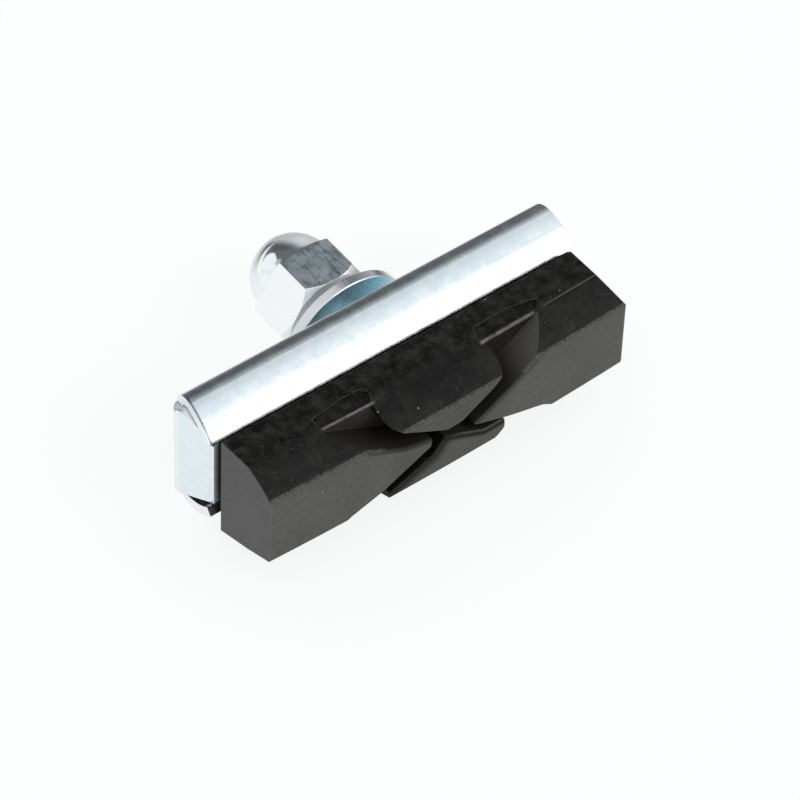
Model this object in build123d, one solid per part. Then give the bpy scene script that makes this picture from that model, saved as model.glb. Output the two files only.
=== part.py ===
from build123d import *
import os
from math import cos, degrees, radians, sin, sqrt, tan

# Frame: X along the pad, +Y along the stud away from the brake face, +Z up.
# The origin lies on the stud's axis at the outer face of the holder's back web. Sizes in millimetres.

# pressed steel holder
sheet = 1.0
holder_length = 44.2
holder_half_height = 7.5
bend_radius = 1.8
bend_turn = 105.0
flange_radius = 8.7
flange_turn = 29.5
end_slant = 0.5

# end tab, folded round from the web and leaning in over the channel
fold_radius = 1.3
tab_turn = 106.0
tab_length = 4.2
tab_overhang = 0.5
tab_root_half = 5.5
tab_waist_half = 5.8
tab_tip_half = 4.15
tab_seat = 0.12
relief_gap = 0.3

# M6 stud, dome nut and washer
stud_diameter = 6.0
stud_end = 12.0
stud_head_diameter = 9.0
stud_head_height = 1.9
stud_lead_in = 0.6
hole_clearance = 0.1
thread_clearance = 0.05
nut_across_flats = 10.0
nut_base = 4.3
nut_corner_low = 5.0
nut_corner_high = 9.2
nut_base_chamfer = 44.0
nut_top_chamfer = 30.0
dome_radius = 4.5
dome_centre = 10.47
bore_spare = 0.5
washer_diameter = 14.0
washer_play = 0.2
washer_thickness = 1.1
washer_front = 1.45
washer_edge = 0.08

# rubber block
block_length = 43.3
block_shift = 0.1
channel_clearance = 0.1
lip_clearance = 0.15
tab_clearance = 0.25
shoulder_gap = 0.95
shoulder_top = 6.45
shoulder_bottom = 6.7
parting_depth = 5.15
ridge_top = 6.55
ridge_rise = 0.42
ridge_bottom = 5.9
flank_crown = 6.85
flank_middle = 5.43
face_depth = 8.9
face_half = 4.25
groove_depth = 3.6
rim_radius = 300.0
end_lean = 3.0
end_top_drop = 2.45
end_top_run = 1.28
end_top_round = 1.0
end_round = 0.6
end_bevel = 0.35
face_edge = 0.25
ease_slope = 1.7
land_edge = 0.2

# the groove pattern below is drawn for a block of this length and stretches with the block
pattern_length = 43.3
pattern_shift = -0.15

# shallow pockets in the top of the base strip behind the groove mouths, (x, distance behind groove floor)
pocket_depth = 0.4
pocket_round = 0.2
left_pocket = [(-13.0, 0.25), (-7.0, 0.25), (-6.6, 1.3), (-7.2, 2.0), (-9.5, 2.05), (-13.0, 1.55)]
right_pocket = [
    (6.25, 0.42), (13.2, 0.42), (13.9, 1.25), (13.2, 1.55), (10.6, 2.0), (6.6, 1.95), (6.05, 0.8),
]

# outlines of the four lands, (x, z, corner radius) from the middle of the pattern
left_land = [
    (-30.0, 14.0, 0), (-17.0, 9.2, 0), (-13.3, 6.45, 0.6), (-5.5, 2.2, 6), (-2.2, 1.35, 0.45),
    (-2.3, 0.3, 0.45), (-8.0, -2.55, 6), (-12.0, -3.8, 3), (-14.5, -5.6, 2), (-17.0, -9.2, 0),
    (-30.0, -14.0, 0),
]
right_land = [
    (30.0, 14.0, 0), (15.6, 9.2, 0), (13.1, 6.5, 0.6), (7.9, 3.0, 8), (4.0, 0.55, 3), (2.3, -0.05, 0.35),
    (7.2, -1.9, 6), (11.7, -3.2, 3), (13.6, -4.4, 2), (16.0, -9.2, 0), (30.0, -14.0, 0),
]
top_land = [
    (-7.35, 12.0, 0), (-7.1, 5.2, 1.0), (-0.6, 1.35, 1.2), (1.3, 1.45, 1.5), (6.65, 4.9, 1.2),
    (6.6, 12.0, 0),
]
bottom_land = [
    (-7.2, -12.0, 0), (-7.1, -3.4, 0.5), (-2.0, -1.3, 1), (-0.7, 0.5, 0.35), (1.6, -0.45, 2),
    (4.3, -1.8, 2), (6.85, -1.75, 0.5), (7.05, -3.3, 0.7), (5.2, -4.6, 0), (5.2, -12.0, 0),
]

# sizes that follow from those above
web_half = holder_half_height - bend_radius
bend_centre = (-bend_radius, web_half)
flange_centre = (
    bend_centre[0] + (bend_radius - flange_radius) * cos(radians(bend_turn)),
    bend_centre[1] + (bend_radius - flange_radius) * sin(radians(bend_turn)),
)
lip_angle = radians(bend_turn + flange_turn)
lip_y = flange_centre[0] + flange_radius * cos(lip_angle)
lip_opening = flange_centre[1] + (flange_radius - sheet) * sin(lip_angle)
head_front = -sheet - stud_head_height
washer_hole = stud_diameter + washer_play
shoulder_y = lip_y - shoulder_gap
parting_y = lip_y - parting_depth
face_y = lip_y - face_depth
floor_y = face_y + groove_depth
tab_lean = radians(tab_turn - 90)
fold_x = -holder_length / 2 - tab_overhang + fold_radius
tab_tip_x = fold_x - fold_radius * cos(tab_lean) + tab_length * sin(tab_lean)
tab_tip_y = -fold_radius - fold_radius * sin(tab_lean) - tab_length * cos(tab_lean)
block_left = block_shift - block_length / 2
block_right = block_shift + block_length / 2
stretch = block_length / pattern_length


def facing(y):
    """Plane at depth Y that looks out of the brake face, with X to the right and Z up."""
    return Plane((0, y, 0), x_dir=(1, 0, 0), z_dir=(0, -1, 0))


def flank(inset):
    """Bend and flange arcs of the upper half section (Y, Z), set in from the sheet's outer surface."""
    bend = CenterArc(bend_centre, bend_radius - inset, 0, bend_turn)
    flange = CenterArc(flange_centre, flange_radius - inset, bend_turn, flange_turn)
    return bend, flange


def channel():
    """Back web with both flanges, cut to a slant at the ends."""
    out_bend, out_flange = flank(0)
    in_bend, in_flange = flank(sheet)
    half = make_face([
        Line((0, 0), (0, web_half)),
        out_bend,
        out_flange,
        Line(out_flange @ 1, in_flange @ 1),
        in_flange,
        in_bend,
        Line((-sheet, web_half), (-sheet, 0)),
        Line((-sheet, 0), (0, 0)),
    ])
    section = half + mirror(half, about=Plane.XZ)
    body = extrude(Plane.YZ * section, amount=holder_length / 2, both=True)
    for side in (-1, 1):
        tip = side * holder_length / 2
        root = tip - side * end_slant
        far = tip + side * holder_length
        wedge = Polyline((tip, lip_y), (root, 0), (root, sheet), (far, sheet), (far, lip_y), close=True)
        body -= extrude(make_face(wedge), amount=2 * holder_half_height, both=True)
    return body


def inner_half(inset):
    """Upper half of the room inside the channel (Y, Z), from the web's level to the lip."""
    bend, flange = flank(inset)
    tip = flange @ 1
    return make_face([
        Line(bend @ 0, (0, web_half)),
        Line((0, web_half), (0, 0)),
        Line((0, 0), (tip.X, 0)),
        Line((tip.X, 0), tip),
        flange,
        bend,
    ])


def end_tab():
    """Fold and tab that close the left end: the tab narrows below and fills the upper flange's hollow."""
    outer = CenterArc((fold_x, -fold_radius), fold_radius, 90, tab_turn)
    inner = CenterArc((fold_x, -fold_radius), fold_radius - sheet, 90, tab_turn)
    inner_tip = (tab_tip_x + sheet * cos(tab_lean), tab_tip_y + sheet * sin(tab_lean))
    strip = make_face([
        Line((fold_x, -sheet), (fold_x, 0)),
        outer,
        Line(outer @ 1, (tab_tip_x, tab_tip_y)),
        Line((tab_tip_x, tab_tip_y), inner_tip),
        Line(inner_tip, inner @ 1),
        inner,
    ])
    waist = -fold_radius
    upper = [(sheet, tab_root_half), (0, tab_root_half), (waist, tab_waist_half), (tab_tip_y, tab_tip_half)]
    lower = [(y, -z) for y, z in reversed(upper)]
    outline = make_face(Polyline(*upper, *lower, close=True))
    outline += inner_half(sheet + tab_seat)
    blank = extrude(strip, amount=holder_half_height, both=True)
    return blank & extrude(Plane.YZ * outline, amount=holder_length, both=True)


def make_holder():
    """Channel and end tab in one sheet, with relief notches at the fold and the stud's hole."""
    notch = Box(
        holder_length, 2 * fold_radius, 2 * (tab_root_half + relief_gap),
        align=(Align.MAX, Align.CENTER, Align.CENTER),
    )
    hole = Cylinder(stud_diameter / 2 + hole_clearance, 4 * sheet, rotation=(90, 0, 0))
    return channel() - Pos(fold_x, 0, 0) * notch + end_tab() - hole


def make_stud():
    """Flat head inside the channel and a round shank with a lead-in."""
    shank = stud_diameter / 2
    head = stud_head_diameter / 2
    profile = Polyline(
        (0, head_front), (head, head_front), (head, -sheet), (shank, -sheet),
        (shank, stud_end - stud_lead_in), (shank - stud_lead_in, stud_end), (0, stud_end), close=True,
    )
    return revolve(make_face(profile), axis=Axis.Y)


def make_nut():
    """Hexagon with chamfered corners, a dome and a blind bore."""
    corner = nut_across_flats / sqrt(3)
    base_slope = tan(radians(nut_base_chamfer))
    slope = tan(radians(nut_top_chamfer))
    base_radius = corner - (nut_corner_low - nut_base) / base_slope
    dome_foot = nut_corner_high + (corner - dome_radius) * slope
    wide = 1.2 * corner
    low = nut_corner_low + (wide - corner) * base_slope
    high = nut_corner_high - (wide - corner) * slope
    turned = Polyline(
        (0, nut_base), (base_radius, nut_base), (wide, low), (wide, high), (dome_radius, dome_foot),
        (0, dome_foot), close=True,
    )
    hexagon = RegularPolygon(nut_across_flats / 2, 6, major_radius=False)
    body = extrude(Plane.XZ * hexagon, amount=-2 * dome_centre) & revolve(make_face(turned), axis=Axis.Y)
    dome = make_face([
        Line((0, nut_corner_low), (dome_radius, nut_corner_low)),
        Line((dome_radius, nut_corner_low), (dome_radius, dome_centre)),
        CenterArc((0, dome_centre), dome_radius, 0, 90),
        Line((0, dome_centre + dome_radius), (0, nut_corner_low)),
    ])
    bore_radius = stud_diameter / 2 + thread_clearance
    bore_end = stud_end + bore_spare
    bore = Polyline(
        (0, 0), (bore_radius, 0), (bore_radius, bore_end), (0, bore_end + bore_radius * slope), close=True,
    )
    return body + revolve(dome, axis=Axis.Y) - revolve(make_face(bore), axis=Axis.Y)


def make_washer():
    """Flat washer that hangs on the stud by its hole."""
    ring = Circle(washer_diameter / 2) - Circle(washer_hole / 2)
    body = extrude(Plane.XZ * ring, amount=-washer_thickness)
    rims = body.edges().filter_by(GeomType.CIRCLE).sort_by(SortBy.RADIUS)[-2:]
    return Pos(0, washer_front, -washer_play / 2) * chamfer(rims, washer_edge)


def base_prism():
    """Base strip carried on to the brake face: straight at the shoulder and bowed further out."""
    carry = (face_y - shoulder_y) / (parting_y - shoulder_y)
    half_length = block_length / 2 + end_round
    far = half_length / (block_length / 2)
    full_rise = block_length ** 2 / 8 / rim_radius
    top = shoulder_top + carry * (ridge_top - shoulder_top)
    bottom = -shoulder_bottom - carry * (ridge_bottom - shoulder_bottom)
    top_end = top + carry * ridge_rise * far ** 2
    bottom_end = bottom + carry * full_rise * far ** 2
    left = block_shift - half_length
    right = block_shift + half_length
    shoulder = Pos(block_shift, (shoulder_top - shoulder_bottom) / 2) * Rectangle(
        2 * half_length, shoulder_top + shoulder_bottom
    )
    low = ThreePointArc((left, bottom_end), (block_shift, bottom), (right, bottom_end))
    high = ThreePointArc((right, top_end), (block_shift, top), (left, top_end))
    front = make_face([low, Line(low @ 1, high @ 0), high, Line(high @ 1, low @ 0)])
    return loft([facing(shoulder_y) * shoulder, facing(face_y) * front], ruled=True)


def along_rim(section):
    """Sweep of a section (Y, Z) along the rim's curve, past both ends of the block."""
    axis = Axis((block_shift, 0, rim_radius), (0, 1, 0))
    sweep = 3 * degrees(block_length / 2 / rim_radius)
    start = (Plane.YZ.offset(block_shift) * section).rotate(axis, -sweep / 2)
    return revolve(start, axis=axis, revolution_arc=sweep)


def rim_section():
    """Section of the brake face and its flanks, bulged above and straight below."""
    middle_y = (parting_y + face_y) / 2
    wide = 2 * shoulder_bottom
    return make_face([
        ThreePointArc((shoulder_y, flank_crown), (middle_y, flank_middle), (face_y, face_half)),
        Line((face_y, face_half), (face_y, -face_half)),
        Line((face_y, -face_half), (parting_y, -ridge_bottom)),
        Line((parting_y, -ridge_bottom), (shoulder_y, -wide)),
        Line((shoulder_y, -wide), (shoulder_y, flank_crown)),
    ])


def easing_section():
    """Wedge whose two sides take the sharp corners off the brake face's long edges."""
    half = face_half - face_edge
    back = half - ease_slope * face_y
    return make_face(Polyline((face_y - half / ease_slope, 0), (0, -back), (0, back), close=True))


def land(points):
    """One land as a prism from the groove floor out past the brake face, bevelled at the face's level."""
    placed = [(x * stretch + pattern_shift, z, r) for x, z, r in points]
    outline = make_face(Polyline(*[(x, z) for x, z, r in placed], close=True))
    for x, z, r in placed:
        if r:
            corner = outline.vertices().sort_by_distance((x, z))[0]
            outline = fillet(corner, r * stretch)
    straight = extrude(facing(floor_y) * outline, amount=groove_depth - land_edge)
    bevel = extrude(facing(face_y + land_edge) * outline, amount=2 * land_edge, taper=45)
    return straight + bevel


def groove():
    """Cutter of the X-shaped groove: a slab in front of the groove floor less the four lands."""
    front = Rectangle(1.2 * block_length, 4 * face_half)
    slab = extrude(facing(floor_y) * front, amount=groove_depth + land_edge / 2)
    for points in (left_land, right_land, top_land, bottom_land):
        slab -= land(points)
    return slab


def pocket(points):
    """Cutter of one pocket in the top of the base strip."""
    placed = [(x * stretch + pattern_shift, floor_y + back) for x, back in points]
    outline = make_face(Polyline(*placed, close=True))
    outline = fillet(outline.vertices(), pocket_round)
    return Pos(0, 0, ridge_top - pocket_depth) * extrude(outline, amount=ridge_top)


def dovetail():
    """Back of the block: fills the channel from the stud's head to the lips and passes out between them."""
    neck_half = lip_opening - lip_clearance
    in_front = Pos(head_front, 0) * Rectangle(holder_length, holder_length, align=(Align.MAX, Align.MIN))
    inside = inner_half(sheet + channel_clearance) & in_front
    neck_back = lip_y + 2 * sheet
    neck = Rectangle(neck_back - shoulder_y, neck_half, align=(Align.MAX, Align.MIN))
    half = inside + Pos(neck_back, 0) * neck
    section = half + mirror(half, about=Plane.XZ)
    left = tab_tip_x + sheet * cos(tab_lean) + tab_clearance
    return Pos(left, 0, 0) * extrude(Plane.YZ * section, amount=block_right - left)


def end_limits():
    """Room between the ends: the left is square, and the right leans, is cut off above and rounded in front."""
    tall = 2 * shoulder_bottom
    deep = 2 * face_depth
    left = Box(2 * block_length, 4 * deep, 4 * tall, align=(Align.MIN, Align.CENTER, Align.CENTER))
    plan = Rectangle(2 * block_length, deep, align=(Align.MAX, Align.MIN))
    plan = fillet(plan.vertices().group_by(Axis.X)[-1].sort_by(Axis.Y)[0], end_round)
    front = Pos(block_right, face_y, 0) * extrude(plan, amount=tall, both=True).rotate(Axis.Y, -end_lean)
    crown = flank_crown + ridge_rise
    lean = tan(radians(end_lean))
    cut = (block_right - (crown - end_top_drop) * lean, crown - end_top_drop)
    outline = make_face(Polyline(
        (block_left, -tall), (block_right + tall * lean, -tall), cut,
        (block_right - crown * lean - end_top_run, crown), (block_left, crown), close=True,
    ))
    outline = fillet(outline.vertices().sort_by_distance(cut)[0], end_top_round)
    top = extrude(facing(0) * outline, amount=deep)
    return (Pos(block_left, 0, 0) * left) & front & top


def lower_bevel():
    """Plane that takes the sharp lower edge off the leaning end."""
    rise = (block_length / 2) ** 2 / 2 / rim_radius
    lean = tan(radians(end_lean))
    front = Vector(block_right + (face_half - rise) * lean, face_y, rise - face_half)
    back = Vector(block_right + (ridge_bottom - rise) * lean, parting_y, rise - ridge_bottom)
    end_out = Vector(1, 0, lean).normalized()
    flank_out = Vector(1, 0, 0).cross(front - back).normalized()
    out = (end_out + flank_out).normalized()
    return Plane(front - out * end_bevel, z_dir=out)


def rounded_blank():
    """Base strip and bowed front between the rounded ends."""
    blank = base_prism() & along_rim(rim_section()) & end_limits()
    return split(blank, lower_bevel(), keep=Keep.BOTTOM)


def make_block():
    """Dovetail and rounded blank, with the groove and the pockets cut in and the face's edges eased."""
    block = (rounded_blank() - groove()) & along_rim(easing_section())
    for points in (left_pocket, right_pocket):
        block -= pocket(points)
    return block + dovetail()


if __name__ == "__main__":
    os.makedirs("parts", exist_ok=True)
    export_step(make_holder(), "parts/holder.step")
    export_step(make_stud(), "parts/stud.step")
    export_step(make_nut(), "parts/cap_nut.step")
    export_step(make_washer(), "parts/washer.step")
    export_step(make_block(), "parts/brake_block.step")
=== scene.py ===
from math import hypot, radians

import bpy
import numpy as np
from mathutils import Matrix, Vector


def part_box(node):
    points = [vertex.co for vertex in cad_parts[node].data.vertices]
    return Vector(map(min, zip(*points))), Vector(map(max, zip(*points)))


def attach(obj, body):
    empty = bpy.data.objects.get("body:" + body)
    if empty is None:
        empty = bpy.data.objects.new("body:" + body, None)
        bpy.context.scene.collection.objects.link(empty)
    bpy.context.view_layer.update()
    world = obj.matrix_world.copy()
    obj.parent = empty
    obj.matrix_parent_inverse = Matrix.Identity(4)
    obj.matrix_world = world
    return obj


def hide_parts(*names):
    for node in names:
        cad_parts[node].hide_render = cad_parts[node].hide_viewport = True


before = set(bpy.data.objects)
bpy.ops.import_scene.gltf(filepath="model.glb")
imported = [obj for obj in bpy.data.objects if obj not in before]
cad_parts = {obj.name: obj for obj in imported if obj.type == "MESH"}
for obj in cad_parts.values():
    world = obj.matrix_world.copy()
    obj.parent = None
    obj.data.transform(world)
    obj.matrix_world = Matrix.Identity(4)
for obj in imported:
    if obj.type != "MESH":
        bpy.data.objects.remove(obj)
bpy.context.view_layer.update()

MM = 0.001

# places on the block, in millimetres
FACE_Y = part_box("brake_block")[0].y / MM
GROOVE_DEPTH = 3.6
FLOOR_Y = FACE_Y + GROOVE_DEPTH
SEAM_Y = FLOOR_Y + 0.15

# edges of the lands beside the groove, each two straight stretches through three points (x, z)
BOTTOM_LAND_LEFT = ((-7.25, -3.4), (-2.15, -1.3), (-0.85, 0.5))
BOTTOM_LAND_TOP = ((1.45, -0.45), (4.15, -1.8), (6.7, -1.8))
RIGHT_LAND_TOP = ((2.15, -0.05), (3.85, 0.55), (7.75, 3.0))
LEFT_LAND_TOP = ((-13.45, 6.45), (-5.65, 2.2), (-2.35, 1.35))

# places on the holder, the stud and the nut, in millimetres, and directions there
LEFT_END_X = -21.6
END_SLOPE = 0.082
TAB_ALONG = (0.276, -0.961, 0.0)
TAB_ACROSS = (0.961, 0.276, 0.0)
TAB_FACE = -22.13
THREAD_RADIUS = 3.0
HEXAGON_END_Y = 9.2
DOME_CENTRE_Y = 10.47
DOME_SIDE = (0.852, 0.494, 0.173)

# directions from the pad in which its metal mirrors something other than the white room
GAP = (0.225, 0.854, 0.469)
GAP_CORE = (0.025, 0.719, 0.695)
CEILING = (0.147, 0.147, 0.978)
WINDOW = (-0.50, 0.77, 0.40)
BRIGHT_WALL = (0.39, -0.73, 0.56)


class Value:
    """A number that varies over a surface. It wraps a socket, and arithmetic on it adds Math nodes."""

    def __init__(self, nodes, socket):
        self.nodes = nodes
        self.socket = socket

    def math(self, operation, *others):
        inputs = dict(enumerate((self,) + others))
        return self.nodes.node("ShaderNodeMath", {"operation": operation}, inputs)

    def __add__(self, other):
        return self.math("ADD", other)

    def __radd__(self, other):
        return self.math("ADD", other)

    def __sub__(self, other):
        return self.math("SUBTRACT", other)

    def __rsub__(self, other):
        return self.nodes.node("ShaderNodeMath", {"operation": "SUBTRACT"}, {0: other, 1: self})

    def __mul__(self, other):
        return self.math("MULTIPLY", other)

    def __rmul__(self, other):
        return self.math("MULTIPLY", other)

    def __abs__(self):
        return self.math("ABSOLUTE")

    def rise(self, low, high):
        """0 below low and 1 above high, with a soft rise between."""
        inputs = {"Value": self, "From Min": low, "From Max": high}
        return self.nodes.node("ShaderNodeMapRange", {"interpolation_type": "SMOOTHSTEP"}, inputs)

    def fall(self, low, high):
        """1 below low and 0 above high."""
        return 1.0 - self.rise(low, high)


class Nodes:
    """A node tree whose nodes are all made by one method."""

    def __init__(self, tree):
        self.tree = tree
        tree.nodes.clear()

    def node(self, kind, settings=None, inputs=None, output=0):
        """Adds a node, applies its settings, then its socket values or links, and gives one output."""
        made = self.tree.nodes.new(kind)
        for key, value in (settings or {}).items():
            setattr(made, key, value)
        for key, value in (inputs or {}).items():
            if isinstance(value, Value):
                self.tree.links.new(value.socket, made.inputs[key])
            else:
                made.inputs[key].default_value = value
        return Value(self, made.outputs[output]) if len(made.outputs) else None

    def blend(self, factor, a, b):
        """Colour a where the factor is 0 and colour b where it is 1."""
        return self.node("ShaderNodeMix", {"data_type": "RGBA"}, {0: factor, 6: a, 7: b}, 2)

    def lean(self, factor, a, b):
        """Vector a where the factor is 0 and vector b where it is 1."""
        return self.node("ShaderNodeMix", {"data_type": "VECTOR"}, {0: factor, 4: a, 5: b}, 1)

    def dot(self, a, b):
        """Scalar product of two vectors."""
        return self.node("ShaderNodeVectorMath", {"operation": "DOT_PRODUCT"}, {0: a, 1: b}, "Value")


class Finish(Nodes):
    """A material of one principled surface, measured in millimetres of the part's own frame."""

    def __init__(self, name):
        self.material = bpy.data.materials.new(name)
        self.material.use_nodes = True
        super().__init__(self.material.node_tree)
        metres = self.node("ShaderNodeTexCoord", output="Object")
        self.place = self.node("ShaderNodeVectorMath", {"operation": "SCALE"}, {0: metres, "Scale": 1 / MM})
        self.x, self.y, self.z = (
            self.node("ShaderNodeSeparateXYZ", inputs={0: self.place}, output=axis) for axis in range(3)
        )
        self.normal = self.node("ShaderNodeNewGeometry", output="True Normal")
        self.across, self.forward, self.upward = (
            self.dot(self.normal, axis) for axis in ((1.0, 0.0, 0.0), (0.0, -1.0, 0.0), (0.0, 0.0, 1.0))
        )

    def paint(self, mask, colour, rougher=0.0):
        """Colours the surface where the mask is 1, and roughens it."""
        self.base = self.blend(mask, self.base, colour)
        if rougher:
            self.gloss = self.gloss + rougher * mask

    def band(self, value, low, high, soft):
        """1 between two limits of a value, soft at both."""
        return value.rise(low - soft, low + soft) * value.fall(high - soft, high + soft)

    def noise(self, scale, detail=3.0, rough=0.5, squeeze=(1.0, 1.0, 1.0)):
        """Cloudy noise from 0 to 1. The scale is per millimetre, and squeeze draws it out along an axis."""
        where = self.node("ShaderNodeVectorMath", {"operation": "MULTIPLY"}, {0: self.place, 1: squeeze})
        inputs = {"Vector": where, "Scale": scale, "Detail": detail, "Roughness": rough}
        return self.node("ShaderNodeTexNoise", inputs=inputs)

    def specks(self, scale, size, share):
        """Scattered round specks: about this share of the cells of a cell pattern has one."""
        cells = {"Vector": self.place, "Scale": scale}
        near = self.node("ShaderNodeTexVoronoi", inputs=cells, output="Distance")
        tint = self.node("ShaderNodeTexVoronoi", inputs=cells, output="Color")
        chance = self.node("ShaderNodeSeparateXYZ", inputs={0: tint}, output=0)
        grow = self.node("ShaderNodeSeparateXYZ", inputs={0: tint}, output=1)
        edge = near - size * (0.5 + grow)
        return edge.fall(-0.02, 0.02) * chance.rise(1.0 - share, 1.0 - share + 0.01)

    def rounded(self, radius):
        """The normal with every edge rounded over by a radius in millimetres."""
        return self.node("ShaderNodeBevel", {"samples": 8}, {"Radius": radius * MM})

    def edges(self, radius):
        """1 along an edge and 0 on an even face, within a radius in millimetres."""
        return (1.0 - self.dot(self.rounded(radius), self.normal)).rise(0.004, 0.14)

    def bump(self, height, distance, normal):
        """A Bump node over the given normal. The distance is in millimetres."""
        inputs = {"Height": height, "Distance": distance * MM, "Normal": normal}
        return self.node("ShaderNodeBump", inputs=inputs)

    def surface(self, **sockets):
        """Closes the tree with the principled surface, and gives the material."""
        inputs = {key.replace("_", " "): value for key, value in sockets.items()}
        shader = self.node("ShaderNodeBsdfPrincipled", inputs=inputs)
        self.node("ShaderNodeOutputMaterial", inputs={"Surface": shader})
        return self.material


def rgb(r, g, b):
    """A linear colour."""
    return (r, g, b, 1.0)


# tones of the moulded skin
MOULD_BLACK = rgb(0.0026, 0.0024, 0.0020)
MOULD_GREY = rgb(0.0105, 0.0103, 0.0096)
LIP_BROWN = rgb(0.0066, 0.0056, 0.0038)
RIGHT_GREY = rgb(0.0135, 0.0130, 0.0118)
DUST_GREY = rgb(0.0260, 0.0255, 0.0240)
BLOOM_GREY = rgb(0.0310, 0.0295, 0.0260)
WIPED_BLACK = rgb(0.0012, 0.0011, 0.0010)
CLEAN_BLACK = rgb(0.0020, 0.0019, 0.0018)
TONGUE_BLACK = rgb(0.0020, 0.0018, 0.0016)


def moulded_skin(skin):
    """Black skin as it left the mould: cloudy, dusty and patchy, brownish beside the lip of the holder,
    greyer on the right and blacker on the tongue between the groove's upper arms."""
    dust = skin.noise(3.0, 5.0, 0.72)
    patch = skin.noise(0.75, 4.0, 0.58)
    strip = 0.45 + 0.55 * skin.y.rise(-12.0, -10.5)
    beside_lip = skin.y.rise(-10.6, -7.4)
    on_right = skin.x.rise(6.0, 13.0)
    tongue = skin.band(skin.x, -4.0, 4.0, 2.5) * skin.band(skin.y, -13.2, -10.8, 1.2)
    skin.base = skin.blend(skin.cloud.rise(0.35, 0.65), MOULD_BLACK, MOULD_GREY)
    skin.paint(beside_lip * 0.6, LIP_BROWN)
    skin.paint(on_right * 0.5, RIGHT_GREY)
    skin.paint(dust.rise(0.46, 0.74) * 0.75, DUST_GREY)
    skin.paint(patch.rise(0.44, 0.66) * strip * 0.8, BLOOM_GREY)
    skin.paint(patch.fall(0.32, 0.48) * strip * 0.85, WIPED_BLACK)
    skin.paint(dust.fall(0.26, 0.44) * 0.6, CLEAN_BLACK)
    skin.paint(tongue * 0.7, TONGUE_BLACK)
    skin.gloss = 0.48 + 0.16 * skin.cloud + 0.25 * (dust - 0.5)
    skin.height = 0.5 * skin.blotch + 1.4 * dust


# tones of the ground face and the cut ends
GROUND_GREY = rgb(0.093, 0.094, 0.086)
GROUND_PALE = rgb(0.115, 0.115, 0.108)
SMUDGE_GREY = rgb(0.066, 0.066, 0.061)
MIDDLE_GREY = rgb(0.050, 0.048, 0.044)
CUT_GREY = rgb(0.128, 0.129, 0.126)


def ground_rubber(skin):
    """Greyer rubber where the brake face was ground and the ends were cut, darker towards the middle."""
    ragged = 0.40 * (skin.blotch - 0.5) + 0.20 * (skin.grain - 0.5)
    ground = (skin.y + ragged).fall(FACE_Y + 0.05, FACE_Y + 0.35) * skin.forward.rise(0.2, 0.6)
    cut = abs(skin.across).rise(0.9, 0.99) * (abs(skin.x) + ragged).rise(20.6, 21.2)
    smudge = skin.noise(0.22, 3.0).rise(0.35, 0.70)
    middle = abs(skin.x).fall(6.0, 8.5)
    tone = skin.blend(skin.blotch.rise(0.30, 0.70), GROUND_GREY, GROUND_PALE)
    tone = skin.blend(smudge * 0.30, tone, SMUDGE_GREY)
    tone = skin.blend(middle * 0.35, tone, MIDDLE_GREY)
    tone = skin.blend(cut * 0.5, tone, CUT_GREY)
    bare = ground.math("MAXIMUM", cut)
    skin.paint(bare, tone)
    skin.height = skin.height * (1.0 - 0.7 * bare)


# tones of the groove: brown, with painted shade in the deep and black tones and painted light in the pale
# ones
WALL_BROWN = rgb(0.020, 0.019, 0.0175)
WALL_DEPTH_SHADE = rgb(0.014, 0.0115, 0.0095)
WALL_PAINTED_LIGHT = rgb(0.078, 0.075, 0.069)
WALL_PAINTED_SHADE = rgb(0.0034, 0.0028, 0.0024)
FLOOR_BROWN = rgb(0.026, 0.022, 0.018)
FLOOR_PAINTED_LIGHT = rgb(0.050, 0.045, 0.038)


def groove_rubber(skin):
    """Dark brown groove with painted light and shade: painted shade darkens its walls with depth, painted
    light makes its right walls and the upper left floor paler, and painted shade makes the walls of its
    left arms that face left black."""
    wall = skin.in_groove * abs(skin.forward).fall(0.05, 0.2)
    depth = skin.y.rise(FACE_Y + 0.2, FLOOR_Y - 1.0)
    # painted shade: the walls darken towards the groove's floor
    skin.paint(wall, skin.blend(depth, WALL_BROWN, WALL_DEPTH_SHADE))
    # painted light: the right walls are painted paler
    skin.paint(wall * skin.x.rise(6.5, 10.5), WALL_PAINTED_LIGHT)
    # painted shade: the walls of the left arms that face left are painted black
    skin.paint(wall * skin.across.fall(-0.4, -0.3) * skin.x.fall(-1.0, 1.0), WALL_PAINTED_SHADE)
    floor = skin.in_groove * skin.forward.rise(0.8, 0.95) * skin.y.rise(FLOOR_Y - 0.2, FLOOR_Y - 0.1)
    skin.paint(floor, FLOOR_BROWN)
    # painted light: the upper left floor is painted paler
    skin.paint(floor * skin.x.fall(-1.0, 1.0) * skin.z.rise(3.2, 4.8), FLOOR_PAINTED_LIGHT)


def inset(skin, edge):
    """Distance in from an edge of a land, in millimetres: the larger of the distances from its two
    straight stretches. Such a distance is the place times the stretch's normal, less what that product
    is at its start."""
    depths = []
    for (x, z), (next_x, next_z) in zip(edge, edge[1:]):
        length = hypot(next_x - x, next_z - z)
        inward = ((next_z - z) / length, 0.0, (x - next_x) / length)
        depths.append(skin.dot(skin.place, inward) - (inward[0] * x + inward[2] * z))
    return depths[0].math("MAXIMUM", depths[1])


# tones of the land edges: a painted shade, a painted dark line of shade and a painted highlight
EDGE_PAINTED_SHADE = rgb(0.0050, 0.0043, 0.0036)
CREASE_PAINTED_SHADE = rgb(0.0110, 0.0106, 0.0095)
BEAD_PAINTED_HIGHLIGHT = rgb(0.070, 0.067, 0.060)


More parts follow.
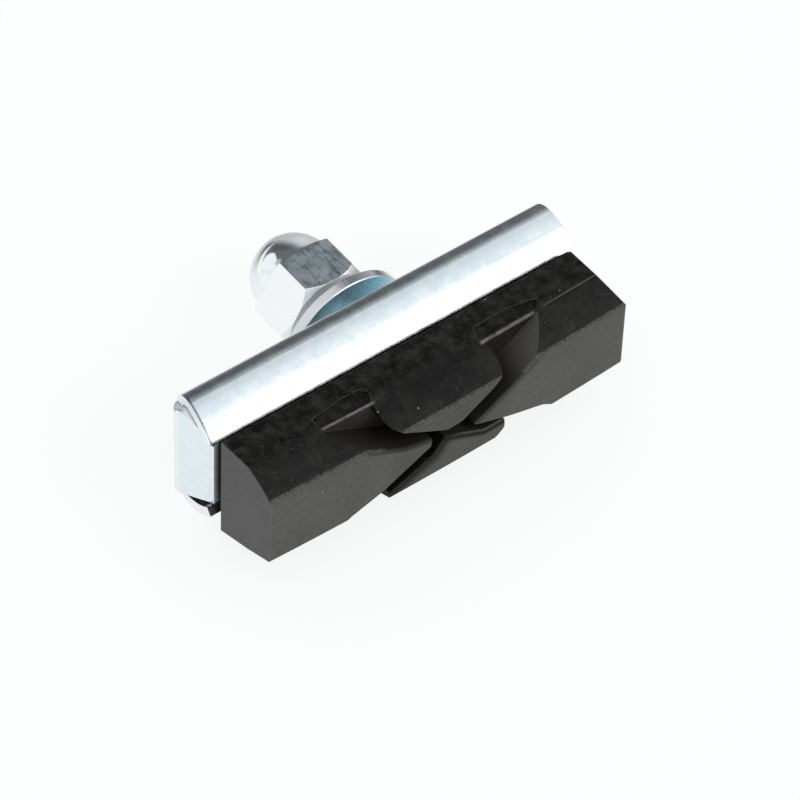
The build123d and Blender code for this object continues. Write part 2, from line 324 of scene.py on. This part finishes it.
def land_edges(skin):
    """Lands beside the groove, with painted light and shade. They round over into a painted brown shade at
    the edges that face left, and a bead painted pale as a painted highlight and a painted dark line of
    shade run along the edges that face right."""
    face = skin.forward.rise(0.5, 0.8) * skin.y.fall(FACE_Y + 0.5, FACE_Y + 0.6)
    lower = inset(skin, BOTTOM_LAND_LEFT)
    upper = inset(skin, BOTTOM_LAND_TOP)
    right = inset(skin, RIGHT_LAND_TOP)
    left = inset(skin, LEFT_LAND_TOP)
    on_lower = face * lower.rise(-0.75, -0.65) * upper.rise(-0.42, -0.36) * skin.x.fall(6.9, 7.1)
    on_right = face * right.rise(-0.8, -0.7) * upper.fall(-0.5, -0.4)
    on_left = face * left.rise(-0.55, -0.5) * lower.fall(-0.8, -0.7)
    # painted shade fades in from the edges that face left; a painted dark line of shade and a painted
    # highlight on the bead run along those that face right
    painted_shade = on_lower * lower.fall(-0.6, 1.8) + on_right * right.fall(-0.9, 0.9)
    crease_shade = on_left * left.rise(-0.28, -0.18) * left.fall(0.0, 0.6)
    crease_shade = crease_shade + on_lower * upper.rise(0.05, 0.18) * upper.fall(0.3, 0.9)
    bead_highlight = on_left * left.fall(-0.28, -0.20) + on_lower * upper.fall(0.0, 0.08)
    skin.paint(painted_shade, EDGE_PAINTED_SHADE)
    skin.paint(crease_shade * 0.9, CREASE_PAINTED_SHADE)
    skin.paint(bead_highlight * 0.8, BEAD_PAINTED_HIGHLIGHT)
    skin.turned = painted_shade.math("MAXIMUM", 0.7 * crease_shade)


# tones of the flash and the seam: painted highlights on both, and a painted shade in front of the seam
FLASH_HIGHLIGHT_GREY = rgb(0.13, 0.122, 0.11)
FLASH_HIGHLIGHT_PALE = rgb(0.24, 0.23, 0.21)
SEAM_HIGHLIGHT_GREY = rgb(0.085, 0.082, 0.076)
SEAM_PAINTED_SHADE = rgb(0.0030, 0.0028, 0.0026)


def flash_lines(skin):
    """Flash on the ledges in front of both pockets, painted pale as a painted highlight, and a raised seam
    on the base strip's right, with a painted highlight on it and a painted shade in front of it.
    """
    left = skin.band(skin.x, -13.0, -7.0, 0.3) * skin.y.fall(FLOOR_Y + 0.25, FLOOR_Y + 0.32)
    right = skin.band(skin.x, 5.9, 12.5, 0.2) * skin.y.fall(FLOOR_Y + 0.28, FLOOR_Y + 0.38)
    ledge = skin.y.rise(FLOOR_Y - 0.06, FLOOR_Y) * skin.z.rise(6.0, 6.2) * skin.upward.rise(0.3, 0.6)
    flash = (left + right) * ledge * skin.blotch.rise(0.15, 0.55)
    # painted highlight: the flash is painted pale
    skin.paint(flash, skin.blend(skin.grain.rise(0.3, 0.7), FLASH_HIGHLIGHT_GREY, FLASH_HIGHLIGHT_PALE))
    seam = skin.x.rise(13.4, 14.2) * skin.upward.rise(0.5, 0.8) * skin.blotch.rise(0.2, 0.5)
    # a painted highlight on the raised seam, and a painted shade in front of it
    raised = skin.band(skin.y, SEAM_Y, SEAM_Y + 0.17, 0.04) * seam
    shade_in_front = skin.band(skin.y, SEAM_Y - 0.25, SEAM_Y - 0.05, 0.05) * seam
    skin.paint(raised, SEAM_HIGHLIGHT_GREY)
    skin.paint(shade_in_front * 0.8, SEAM_PAINTED_SHADE)
    skin.height = skin.height + 4.0 * (raised + flash)


# tones of the wear
RUBBED_GREY = rgb(0.165, 0.162, 0.152)
CORNER_GREY = rgb(0.200, 0.197, 0.190)
SCUFF_GREY = rgb(0.10, 0.10, 0.095)
SPECK_PALE = rgb(0.38, 0.38, 0.36)
SPECK_GREY = rgb(0.16, 0.16, 0.15)


def rubber_wear(skin):
    """Outer edges rubbed light in speckles, scuffs and scratches, and specks of dust."""
    outer = abs(skin.z).rise(3.4, 3.7)
    free = skin.in_groove.fall(0.4, 0.6) + skin.y.fall(FACE_Y + 0.5, FACE_Y + 0.7) * outer
    convex = free * (1.0 - skin.y.rise(FLOOR_Y, FLOOR_Y + 0.1) * skin.z.fall(6.35, 6.45))
    rim = skin.band(skin.y, FACE_Y + 0.06, FACE_Y + 0.42, 0.1) * skin.upward.rise(0.3, 0.6) * outer
    corner = abs(skin.x).rise(20.8, 21.1) * skin.y.fall(FACE_Y + 0.05, FACE_Y + 0.35)
    edge = skin.edges(0.22) * convex
    rubbed = rim.math("MAXIMUM", 0.6 * edge) * skin.grain.rise(0.30, 0.62) * skin.blotch.rise(0.25, 0.55)
    skin.paint(rubbed * 0.85, RUBBED_GREY, 0.10)
    skin.paint(edge * corner * 0.8, CORNER_GREY)
    scuff = abs(skin.noise(0.42, 2.0) - 0.5).fall(0.0, 0.012) * skin.blotch.rise(0.48, 0.60)
    drawn = skin.noise(1.0, 2.0, 0.5, (0.35, 5.0, 5.0))
    scratch = drawn.rise(0.68, 0.75) * skin.blotch.rise(0.48, 0.58)
    skin.paint(0.22 * (scuff + scratch), SCUFF_GREY)
    skin.paint(skin.specks(0.60, 0.042, 0.45) * 0.7, SPECK_PALE)
    skin.paint(skin.specks(1.7, 0.06, 0.12) * 0.4, SPECK_GREY)


def rubber():
    """Rubber of the block, built up from its skin to its wear. The crease along its top is rounded over
    widely, and the shaded land edges turn up to the left."""
    skin = Finish("rubber")
    skin.cloud = skin.noise(0.30, 4.0)
    skin.blotch = skin.noise(1.4, 4.0, 0.6)
    skin.grain = skin.noise(7.0, 3.0, 0.6)
    skin.in_groove = skin.y.fall(FLOOR_Y - 0.03, FLOOR_Y + 0.03) * abs(skin.x).fall(19.0, 20.0)
    moulded_skin(skin)
    ground_rubber(skin)
    groove_rubber(skin)
    land_edges(skin)
    flash_lines(skin)
    rubber_wear(skin)
    crease = skin.band(skin.y, SEAM_Y - 0.9, SEAM_Y + 0.9, 0.1) * skin.band(skin.x, -20.5, 13.5, 0.4)
    crease = crease * skin.z.rise(6.2, 6.4)
    rounded = skin.lean(crease, skin.rounded(0.15), skin.rounded(0.9))
    rounded = skin.lean(skin.turned, rounded, (-0.56, -0.20, 0.80))
    normal = skin.bump(skin.height, 0.012, rounded)
    return skin.surface(Base_Color=skin.base, Roughness=skin.gloss, Normal=normal, IOR=1.26)


class Zinc(Finish):
    """Bright zinc plate: a faint mottle of a blue and a white tone, orange peel and a few dull spots."""

    def __init__(self, name, blue, white, rough):
        super().__init__(name)
        mottle = self.noise(0.8, 5.0, 0.62).rise(0.34, 0.66)
        peel = self.noise(2.6, 3.0, 0.55)
        spots = self.specks(1.1, 0.05, 0.07)
        self.base = self.blend(0.8 * mottle + 0.2 * peel, blue, white)
        self.base = self.blend(spots * 0.35, self.base, rgb(0.45, 0.47, 0.48))
        self.gloss = rough + 0.08 * (mottle - 0.5) + 0.15 * spots
        self.height = 0.5 * peel
        self.metal = 1.0
        self.soft = self.rounded(0.12)

    def plate(self):
        """Closes the tree, and gives the material."""
        normal = self.bump(self.height, 0.004, self.soft)
        return self.surface(Base_Color=self.base, Roughness=self.gloss, Metallic=self.metal, Normal=normal)


# tones of the plated sheet
TAB_BLUE = rgb(0.78, 0.86, 0.90)
RIGHT_BAND_GREY = rgb(0.66, 0.72, 0.74)
SHEARED_AND_HIGHLIGHT_WHITE = rgb(0.93, 0.94, 0.94)
TIP_PAINTED_SHADE = rgb(0.18, 0.18, 0.18)
END_LINE_GREY = rgb(0.20, 0.23, 0.24)


def plated_sheet():
    """Sheet of the holder, drawn lengthwise and greyer on a band of its top near the right end. Its sheared
    edges are whiter and rougher, its back edge is whiter and rougher as a painted highlight, painted shade
    darkens the tab's tip inwards, and a dark line runs along the left end."""
    zinc = Zinc("plated_sheet", rgb(0.70, 0.80, 0.86), rgb(0.83, 0.89, 0.91), 0.24)
    zinc.height = zinc.height + 0.3 * zinc.noise(1.0, 3.0, 0.6, (0.12, 3.0, 3.0))
    # greyer on a band of the top near the right end
    right_band = zinc.x.rise(11.0, 15.0) * zinc.band(zinc.upward, 0.82, 0.905, 0.01)
    zinc.paint(zinc.x.fall(-22.0, LEFT_END_X) * 0.7, TAB_BLUE)
    zinc.paint(right_band * 0.7, RIGHT_BAND_GREY)
    end = abs(zinc.across).rise(0.975, 0.985) * abs(zinc.x).rise(20.0, 20.2)
    fold_end = zinc.upward.rise(0.8, 0.9) * zinc.band(zinc.z, 5.25, 6.7, 0.05) * zinc.x.fall(-21.0, -20.8)
    tab_end = zinc.dot(zinc.normal, TAB_ALONG).rise(0.9, 0.95) * zinc.x.fall(-20.0, -19.8)
    # painted highlight: the back edge is painted whiter and less metallic
    back_edge_highlight = zinc.forward.fall(-0.70, -0.60) * zinc.upward.rise(0.3, 0.5) * 0.7
    zinc.paint(0.8 * (end + fold_end + tab_end), SHEARED_AND_HIGHLIGHT_WHITE, 0.40)
    zinc.paint(back_edge_highlight, SHEARED_AND_HIGHLIGHT_WHITE, 0.30)
    zinc.metal = 1.0 - 0.9 * tab_end - 0.9 * back_edge_highlight
    in_tab = zinc.dot(zinc.place, TAB_ACROSS) - TAB_FACE
    # painted shade: the tab's tip darkens inwards
    zinc.paint(tab_end * in_tab.rise(0.20, 0.75), TIP_PAINTED_SHADE)
    from_end = zinc.x - END_SLOPE * zinc.y - LEFT_END_X
    # a dark line along the left end
    end_line = zinc.band(from_end, 0.08, 0.30, 0.05) * zinc.upward.rise(0.2, 0.4) * zinc.y.fall(-1.6, -1.2)
    zinc.paint(end_line * 0.9, END_LINE_GREY, 0.1)
    return zinc.plate()


# tones of the washer
FRONT_REFLECTION_BLUE = rgb(0.62, 0.85, 0.92)
WASHER_DULL = rgb(0.92, 0.93, 0.93)
RIM_PAINTED_LIGHT = rgb(0.94, 0.95, 0.95)


def washer_plate():
    """Washer with a front painted bluer as a painted reflection, a duller back, and the left side of the
    rim painted whiter as painted light.
    """
    zinc = Zinc("washer_steel", rgb(0.76, 0.83, 0.86), rgb(0.86, 0.90, 0.92), 0.24)
    rim = abs(zinc.forward).fall(0.3, 0.5) * zinc.across.fall(-0.30, 0.05)
    # painted reflection: the front is painted bluer
    zinc.paint(zinc.forward.rise(0.90, 0.98), FRONT_REFLECTION_BLUE, 0.02)
    zinc.paint(zinc.forward.fall(-0.98, -0.90), WASHER_DULL, 0.40)
    # painted light: the left side of the rim is painted white and less metallic
    zinc.paint(rim, RIM_PAINTED_LIGHT, 0.20)
    zinc.metal = 1.0 - 0.7 * rim
    return zinc.plate()


# tones of the nut
FLAT_WHITE = rgb(0.93, 0.94, 0.95)
TOP_BLUE = rgb(0.84, 0.95, 1.00)
STAIN_BLUE = rgb(0.25, 0.31, 0.36)
CHAMFER_WHITE = rgb(0.95, 0.96, 0.96)
SATIN_PAINTED_LIGHT = rgb(0.94, 0.95, 0.96)


def nut_plate():
    """Drawn hexagon with lines along the axis and a stained upper face, under a smooth dome with an even
    crown and a right side painted satin white as painted light."""
    zinc = Zinc("nut_plating", rgb(0.82, 0.88, 0.90), rgb(0.92, 0.95, 0.96), 0.10)
    flat = abs(zinc.forward).fall(0.02, 0.10) * zinc.y.fall(HEXAGON_END_Y, HEXAGON_END_Y + 0.2)
    top = flat * zinc.upward.rise(0.8, 0.9)
    drawn = zinc.noise(1.0, 3.0, 0.6, (2.6, 0.25, 2.6)).rise(0.44, 0.68)
    stain = zinc.noise(1.3, 4.0, 0.70).rise(0.42, 0.62)
    zinc.paint(flat, FLAT_WHITE, 0.20)
    zinc.paint(top, TOP_BLUE, 0.08)
    zinc.paint(top * (0.50 * drawn + 0.50 * stain), STAIN_BLUE)
    zinc.paint(zinc.forward.rise(0.50, 0.85), CHAMFER_WHITE, 0.35)
    zinc.height = zinc.height + 0.6 * flat * drawn
    crown = (zinc.x * zinc.x + zinc.z * zinc.z).fall(0.10, 0.30) * zinc.forward.fall(-0.95, -0.85)
    zinc.soft = zinc.lean(crown, zinc.soft, (0.0, 1.0, 0.0))
    # painted light: the dome's right side is painted satin white and less metallic
    middle = DOME_CENTRE_Y * DOME_SIDE[1]
    satin_light = zinc.dot(zinc.place, DOME_SIDE).rise(middle + 0.33, middle + 1.63)
    satin_light = satin_light * zinc.y.rise(HEXAGON_END_Y + 0.2, HEXAGON_END_Y + 0.5)
    zinc.paint(satin_light * 0.8, SATIN_PAINTED_LIGHT, 0.30)
    zinc.metal = 1.0 - 0.8 * satin_light
    return zinc.plate()


def stud_plate():
    """Rolled thread of the stud."""
    zinc = Zinc("stud_steel", rgb(0.60, 0.66, 0.70), rgb(0.76, 0.80, 0.82), 0.26)
    zinc.height = zinc.height + 0.2 * zinc.noise(1.5, 3.0, 0.6)
    return zinc.plate()


def piece(name, points, faces, material):
    """Puts arrays of points and faces into a smooth mesh of the part."""
    mesh = bpy.data.meshes.new(name)
    mesh.from_pydata(points.tolist(), [], faces.tolist())
    mesh.polygons.foreach_set("use_smooth", np.ones(len(mesh.polygons), bool))
    mesh.materials.append(material)
    made = bpy.data.objects.new(name, mesh)
    bpy.context.scene.collection.objects.link(made)
    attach(made, "root")
    return made


def turned_faces(rows, columns):
    """Quads of a grid whose columns close on themselves."""
    row, column = np.meshgrid(np.arange(rows - 1), np.arange(columns), indexing="ij")
    here = row * columns + column
    beside = row * columns + (column + 1) % columns
    return np.stack([here, beside, beside + columns, here + columns], -1).reshape(-1, 4)


def threaded_stud(material):
    """Stud turned about Y: rows of radius against y. On the shank the radius is the thread's outside radius
    less its depth times a trapezoid wave of (y / pitch - share of a turn), which fades out at the web. At
    the tip a cone takes the thread off."""
    low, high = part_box("stud")
    rows, columns = 260, 72
    pitch, depth, runout, lead = 1.0 * MM, 0.61 * MM, 0.8 * MM, 0.6 * MM
    outside, head, web, neck = THREAD_RADIUS * MM, high.x, -1.0 * MM, 0.2 * MM
    root, flank = 0.25, 0.625
    share = np.linspace(0.0, 1.0, columns, endpoint=False)
    y = np.linspace(neck, high.y, rows)[:, None]
    wave = np.abs((y / pitch - share) % 1.0 - 0.5) * 2.0
    crest = np.clip((wave - root) / flank, 0.0, 1.0)
    fade = np.clip((y - neck) / runout, 0.0, 1.0)
    shank = outside - depth * (1.0 - crest) * fade
    shank = np.minimum(shank, outside - np.clip(y - high.y + lead, 0.0, lead))
    foot = np.array([[low.y, 0.0], [low.y, head], [web, head], [web, outside]])
    even = np.zeros_like(share)
    ys = np.vstack([foot[:, :1] + even, y + even, [even + high.y]])
    rs = np.vstack([foot[:, 1:] + even, shank, [even]])
    angle = 2.0 * np.pi * share
    points = np.stack([rs * np.sin(angle), ys, rs * np.cos(angle)], -1).reshape(-1, 3)
    stud = piece("stud_thread", points, turned_faces(*ys.shape), material)
    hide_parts("stud")


def ray_masks(nodes):
    """Two masks: rays that come from the camera, off a mirror or through glass, and mirrored rays alone.
    Both leave out scattered light."""
    camera_ray = nodes.node("ShaderNodeLightPath", output="Is Camera Ray")
    mirrored = nodes.node("ShaderNodeLightPath", output="Is Glossy Ray")
    through = nodes.node("ShaderNodeLightPath", output="Is Transmission Ray")
    return camera_ray.math("MAXIMUM", mirrored).math("MAXIMUM", through), mirrored


def table():
    """White table that the pad rests on with its lower bend and the washer. Mirrored rays see it end in the
    dark room some centimetres behind the pad."""
    half, slope = 3.0, 0.11
    bend_y, bend_z = -1.8 * MM, -7.5 * MM
    x, y = np.meshgrid([-half, half], [-half, half], indexing="ij")
    z = bend_z + slope * (y - bend_y)
    mesh = bpy.data.meshes.new("table")
    mesh.from_pydata(np.stack([x, y, z], -1).reshape(-1, 3).tolist(), [], [(0, 2, 3, 1)])
    top = bpy.data.objects.new("table", mesh)
    bpy.context.scene.collection.objects.link(top)
    material = bpy.data.materials.new("table")
    material.use_nodes = True
    nodes = Nodes(material.node_tree)
    seen, mirrored = ray_masks(nodes)
    metres = nodes.node("ShaderNodeTexCoord", output="Object")
    behind = nodes.dot(metres, (0.40, 0.92, 0.0)).rise(0.009, 0.050) * mirrored
    behind = behind * nodes.dot(metres, (0.97, -0.23, 0.0)).rise(-0.032, -0.014)
    glow_level = 0.45 + 0.38 * seen
    matt = nodes.node("ShaderNodeBsdfDiffuse", inputs={"Color": rgb(0.22, 0.22, 0.22)})
    glow = nodes.node("ShaderNodeEmission", inputs={"Color": rgb(0.995, 1.0, 1.0), "Strength": glow_level})
    lit = nodes.node("ShaderNodeAddShader", inputs={0: matt, 1: glow})
    gloom = nodes.node("ShaderNodeEmission", inputs={"Color": rgb(0.13, 0.135, 0.14), "Strength": 1.0})
    both = nodes.node("ShaderNodeMixShader", inputs={0: behind, 1: lit, 2: gloom})
    nodes.node("ShaderNodeOutputMaterial", inputs={"Surface": both})
    mesh.materials.append(material)


def room():
    """White studio round the table. Mirrored rays see it darken towards a gap behind the pad, except for a
    low strip beside the gap and one bright window. They see a dim ceiling and a bright wall in front."""
    world = bpy.data.worlds.new("room")
    bpy.context.scene.world = world
    world.use_nodes = True
    nodes = Nodes(world.node_tree)
    seen, mirrored = ray_masks(nodes)
    toward = nodes.node("ShaderNodeTexCoord", output="Generated")
    beside = nodes.dot(toward, (0.829, -0.559, 0.0)).rise(0.0, 0.14)
    beside = beside * nodes.dot(toward, (-0.643, 0.766, 0.0)).rise(0.0, 0.06)
    low = nodes.node("ShaderNodeSeparateXYZ", inputs={0: toward}, output=2).fall(0.34, 0.44)
    gap = nodes.dot(toward, GAP).rise(0.34, 1.02) * (1.0 - beside * low)
    core = 0.93 * nodes.dot(toward, GAP_CORE).rise(0.90, 0.93)
    ceiling = nodes.dot(toward, CEILING).rise(0.925, 0.965) * mirrored
    window = nodes.dot(toward, WINDOW).rise(0.945, 0.953)
    dark = gap.math("MAXIMUM", core) * (1.0 - window) * mirrored
    bright = nodes.dot(toward, BRIGHT_WALL).rise(0.82, 0.98) * mirrored
    level = 0.64 + 0.36 * seen - 0.91 * dark - 0.09 * ceiling + 0.22 * bright
    light = nodes.node("ShaderNodeBackground", inputs={"Color": rgb(0.965, 0.985, 1.0), "Strength": level})
    nodes.node("ShaderNodeOutputWorld", inputs={"Surface": light})


def softbox():
    """One large soft lamp high on the right front."""
    lamp = bpy.data.lights.new("softbox", "AREA")
    lamp.shape = "SQUARE"
    lamp.size = 0.66
    lamp.energy = 1.75
    box = bpy.data.objects.new("softbox", lamp)
    bpy.context.scene.collection.objects.link(box)
    box.location = (0.35, -0.66, 0.51)
    box.rotation_euler = (-box.location).to_track_quat("-Z", "Y").to_euler()


def camera():
    """Long lens from above the left front."""
    data = bpy.data.cameras.new("camera")
    data.sensor_width = 36.0
    data.lens = 145.07
    eye = bpy.data.objects.new("camera", data)
    eye.location = (-133.785 * MM, -162.876 * MM, 235.923 * MM)
    eye.rotation_euler = (radians(40.7188), radians(-2.5819), radians(-37.6285))
    bpy.context.scene.collection.objects.link(eye)
    bpy.context.scene.camera = eye


def dress(node, material):
    """Gives a solid its finish."""
    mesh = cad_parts[node].data
    mesh.materials.clear()
    mesh.materials.append(material)


dress("brake_block", rubber())
dress("holder", plated_sheet())
dress("washer", washer_plate())
dress("cap_nut", nut_plate())
threaded_stud(stud_plate())
table()
room()
softbox()
camera()
bpy.context.scene.view_settings.view_transform = "Standard"
